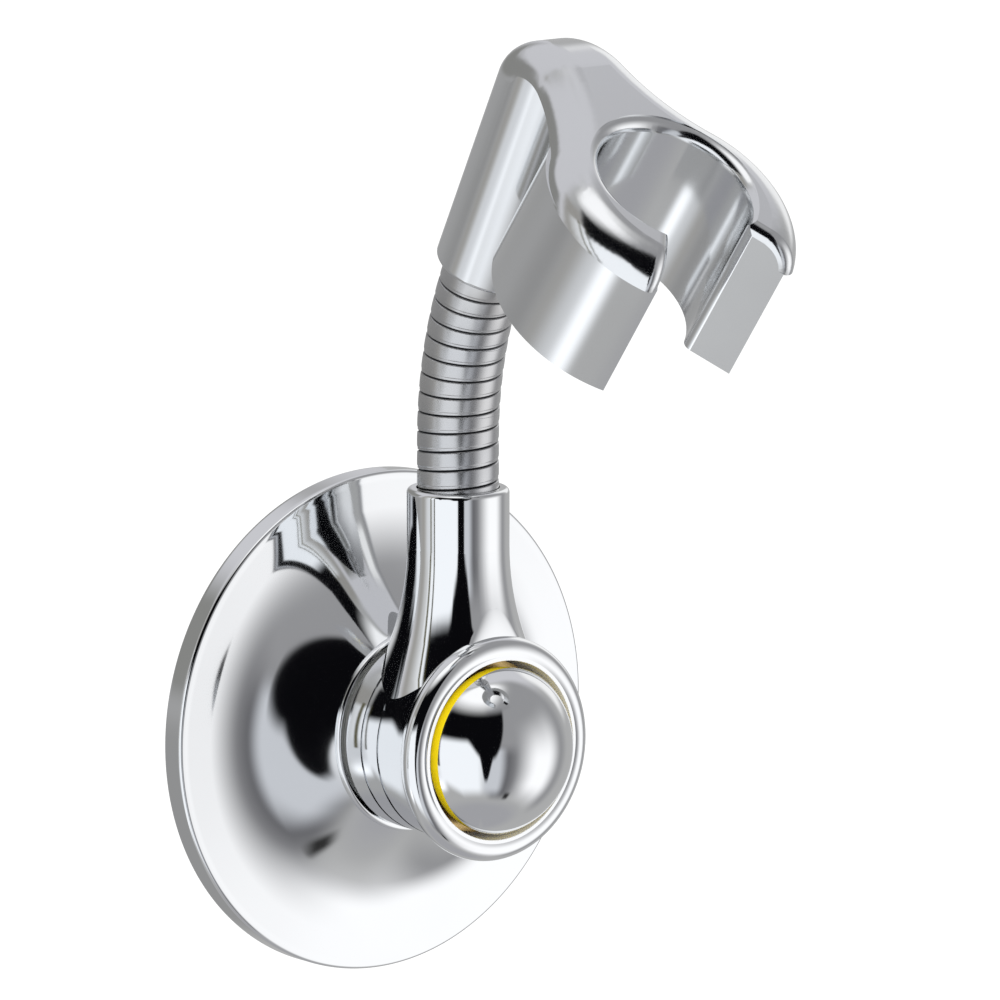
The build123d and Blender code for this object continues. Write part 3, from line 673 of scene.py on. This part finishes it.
def along_neck(length):
    """Centre and lean of the neck at a length above the socket: straight up, an arc, then straight on.

    On the arc the lean is the length past its start over its radius. Before it the lean is 0, and after
    it the full bend.
    """
    lean = np.clip((length - straight) / bend_radius, 0, bend_angle)
    before = np.minimum(length, straight)
    after = np.maximum(length - free_length, 0)
    y = neck_y - bend_radius * (1 - np.cos(lean)) - after * np.sin(bend_angle)
    z = socket_top + before + bend_radius * np.sin(lean) + after * np.cos(bend_angle)
    return np.stack([np.zeros_like(length), y, z], -1), lean


def round_neck(length, angle, radius):
    """Point at a radius from the centre line.

    It is the centre plus radius times (cos angle, sin angle cos lean, sin angle sin lean).
    """
    centre, lean = along_neck(length)
    across = np.stack([np.cos(angle), np.sin(angle) * np.cos(lean), np.sin(angle) * np.sin(lean)], -1)
    return centre + radius[..., None] * across


print("free length of the neck in mm:", round(free_length / mm, 2))

# %% [markdown]
# ## Wound strip
#
# The neck is a flat steel strip wound into a tube, each turn hooked over the last. Its turns are cut here
# as a groove that climbs with the angle: the radius is a function of one phase only, length over pitch
# minus angle over a full turn. The strip itself, with its hooks, would only add faces that nobody sees.

# %% Shape of the wound strip
pitch = 3.0 * mm
hose_radius, hose_inside = 6.4 * mm, 4.8 * mm
groove_depth = 0.34 * mm
lip_depth = 0.07 * mm
crown = 0.04 * mm
groove_down, groove_up = (0.0, 0.04), (0.09, 0.13)    # shares of a turn in which the groove falls and rises
lip_down, lip_up = (0.10, 0.12), (0.26, 0.30)         # and those of the lip behind it
face_middle, face_half = 0.55, 0.45                   # middle and half width of the strip's face


def between(phase, rise, fall):
    """1 between two shares of a turn and 0 outside: a smooth step up over rise, times one down over fall."""
    return smooth_step(phase, *rise) * smooth_step(-phase, -fall[1], -fall[0])


def strip_phase(length, angle):
    """Place across the wound strip, from 0 to 1: length over pitch minus angle over a full turn."""
    return (length / pitch - angle / (2 * np.pi) + 0.5) % 1


def in_groove(phase):
    """1 in the narrow gap between two turns, 0 on the strip."""
    return between(phase, groove_down, groove_up)


def strip_radius(length, angle):
    """Radius of the wound strip: a narrow groove each turn, a low lip behind it, and a crowned face.

    The crown falls with the square of the distance from the middle of the face.
    """
    phase = strip_phase(length, angle)
    lip = between(phase, lip_down, lip_up)
    crowned = crown * ((phase - face_middle) / face_half) ** 2
    return hose_radius - groove_depth * in_groove(phase) - lip_depth * lip - crowned


print("groove from", hose_radius / mm, "down to", round((hose_radius - groove_depth) / mm, 2), "mm")

# %% [markdown]
# ## Hose in three lengths
#
# The neck crosses three joints, and a piece can bend across one, so the hose is made as three tubes that
# meet in flat rings half way between the joints. Each tube is an outer wall, two end rings and a plain
# lining.

# %% Strip-wound hose
lining_rows, hose_columns = 12, 128
row_step = 0.06 * mm
in_socket = 10.5 * mm
thirds = [0, free_length / 3, 2 * free_length / 3, free_length]
hose_low, hose_high = -in_socket, free_length + in_socket
hose_ends = [hose_low, thirds[1], thirds[2], hose_high]
part_names = ["lower", "middle", "upper"]


def hose_tube(name, low, high):
    """Tube along the neck between two lengths: wall, end ring, lining and end ring in one closed grid.

    The wall's radius is the wound strip's, and the lining's is constant.
    """
    angle = np.pi / 2 + np.linspace(0, 2 * np.pi, hose_columns, endpoint=False)
    wall_rows = int((high - low) / row_step)
    rows = np.concatenate([np.linspace(low, high, wall_rows), np.linspace(high, low, lining_rows)])
    length, turn = np.meshgrid(rows, angle, indexing="ij")
    radius = strip_radius(length, turn)
    radius[wall_rows:] = hose_inside
    piece = surface(name, round_neck(length, turn, radius), close_rows=True, close_columns=True)
    # marks the gaps, where shade is painted into the finish
    gap = in_groove(strip_phase(length, turn)).astype(np.float32)
    piece.data.attributes.new("gap", "FLOAT", "POINT").data.foreach_set("value", gap.ravel())
    return piece


def bend_over_joint(piece):
    """Bakes the piece's placement into its mesh.
    """
    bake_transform(piece)


for number, part in enumerate(part_names):
    piece = hose_tube("hose_" + part, hose_ends[number], hose_ends[number + 1])
    piece.data.materials.append(finishes["steel_strip"])
    bend_over_joint(piece)
    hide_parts("flexible_hose")

# %% [markdown]
# ## Core
#
# A rod of soft metal inside the hose keeps the shape that the neck is bent to. It runs a little deeper
# into both sockets than the hose, and it is made in the same three lengths.

# %% Core inside the hose
core_radius = 2.5 * mm
past_hose = 4.0 * mm
core_rows, core_columns = 40, 32
core_ends = [hose_low - past_hose, thirds[1], thirds[2], hose_high + past_hose]
for number, part in enumerate(part_names):
    rod_rows = np.linspace(core_ends[number], core_ends[number + 1], core_rows)
    rod_rows = np.concatenate([rod_rows[:1], rod_rows, rod_rows[-1:]])
    angle = np.linspace(0, 2 * np.pi, core_columns, endpoint=False)
    length, turn = np.meshgrid(rod_rows, angle, indexing="ij")
    radius = np.full_like(length, core_radius)
    radius[[0, -1]] = 0
    piece = surface("core_" + part, round_neck(length, turn, radius), close_columns=True, poles=True)
    piece.data.set_sharp_from_angle(angle=sharp_angle)
    piece.data.materials.append(finishes["soft_aluminium"])
    bend_over_joint(piece)
    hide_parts("bend_core")

# %% [markdown]
# ## Foot of the socket
#
# The socket for the neck widens into the barrel like the foot of a wine glass. The solid is cut flush with
# the middle of the front lip there, which leaves a small flat with a hard edge, and the real casting runs
# on round. A thin cap over the flat mends that: it leaves the flare without a kink, levels out, and goes
# under the lip.

# %% Foot of the socket
socket_radius, flare_radius, flare_top = 8.05 * mm, 45.0 * mm, 31.0 * mm
cut_y = -32.185 * mm
cut_depth = neck_y - cut_y
cap_low = 16.4 * mm
cap_rise = 0.5 * mm
cap_sunk = 0.05 * mm
cap_rows, cap_columns = 48, 65


def flare(z):
    """Radius of the socket at a height: its own plus the drop of an arc that starts upright at the top."""
    return socket_radius + flare_radius - np.sqrt(flare_radius**2 - (flare_top - z) ** 2)


cut_top = flare_top - np.sqrt(flare_radius**2 - (flare_radius + socket_radius - cut_depth) ** 2)
z = np.linspace(cap_low, cut_top, cap_rows + 1)[:-1, None]
half_angle = np.arccos(cut_depth / flare(z))
angle = half_angle * np.linspace(-1, 1, cap_columns)
x, z = np.broadcast_arrays(flare(z) * np.sin(angle), z)
beyond_cut = flare(z) * np.cos(angle) - cut_depth
rise = cap_rise * (1 - np.exp(-beyond_cut / cap_rise))
front = np.stack([x, cut_y - rise, z], -1)
back = np.stack([x, np.full_like(x, cut_y + cap_sunk), z], -1)
cap_rings = np.concatenate([front, back[:, ::-1]], 1)
low_end = np.broadcast_to(cap_rings[0].mean(0), cap_rings[:1].shape)
top_end = np.broadcast_to((0, cut_y, cut_top), cap_rings[:1].shape)
cap_points = np.concatenate([low_end, cap_rings, top_end])
foot = surface("socket_foot", cap_points, close_columns=True, poles=True)
foot.data.set_sharp_from_angle(angle=sharp_angle)
foot.data.materials.append(finishes["mirror_chrome"])
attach(foot, "swivel")
print("cap rises by", round(rise.max() / mm, 2), "mm and ends at", round(cut_top / mm, 2), "mm")

# %% [markdown]
# ## Return spring
#
# Under the button a coil spring pushes the piston back out, and on the real holder it shortens between the
# piston and the pump's floor when the button is pressed. A wire bent to a helix is a circle carried along a
# path; this coil keeps one length and rides on the base.

# %% Return spring
spring_low, spring_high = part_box("return_spring")
wire = 0.5 * mm
coil_radius = spring_high.x - wire
turns = 3.5
path_points, wire_columns = 420, 12
angle = np.linspace(0, 2 * np.pi * turns, path_points)
back, front = spring_high.y - wire, spring_low.y + wire
path = np.stack([coil_radius * np.cos(angle), back + (front - back) * angle / angle[-1],
                 coil_radius * np.sin(angle)], -1)
outward = np.stack([np.cos(angle), np.zeros_like(angle), np.sin(angle)], -1)
tangent = np.gradient(path, axis=0)
tangent /= np.linalg.norm(tangent, axis=1, keepdims=True)
side = np.cross(tangent, outward)
round_wire = np.linspace(0, 2 * np.pi, wire_columns, endpoint=False)
wire_points = (path[:, None] + wire * (np.cos(round_wire)[None, :, None] * outward[:, None]
                                       + np.sin(round_wire)[None, :, None] * side[:, None]))
wire_ends = np.repeat(path[[0, -1], None], wire_columns, axis=1)
wire_points = np.concatenate([wire_ends[:1], wire_points, wire_ends[1:]])
spring = surface("coil_spring", wire_points, close_columns=True, poles=True)
spring.data.materials.append(finishes["spring_steel"])
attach(spring, "base")
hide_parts("return_spring")
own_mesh(spring)
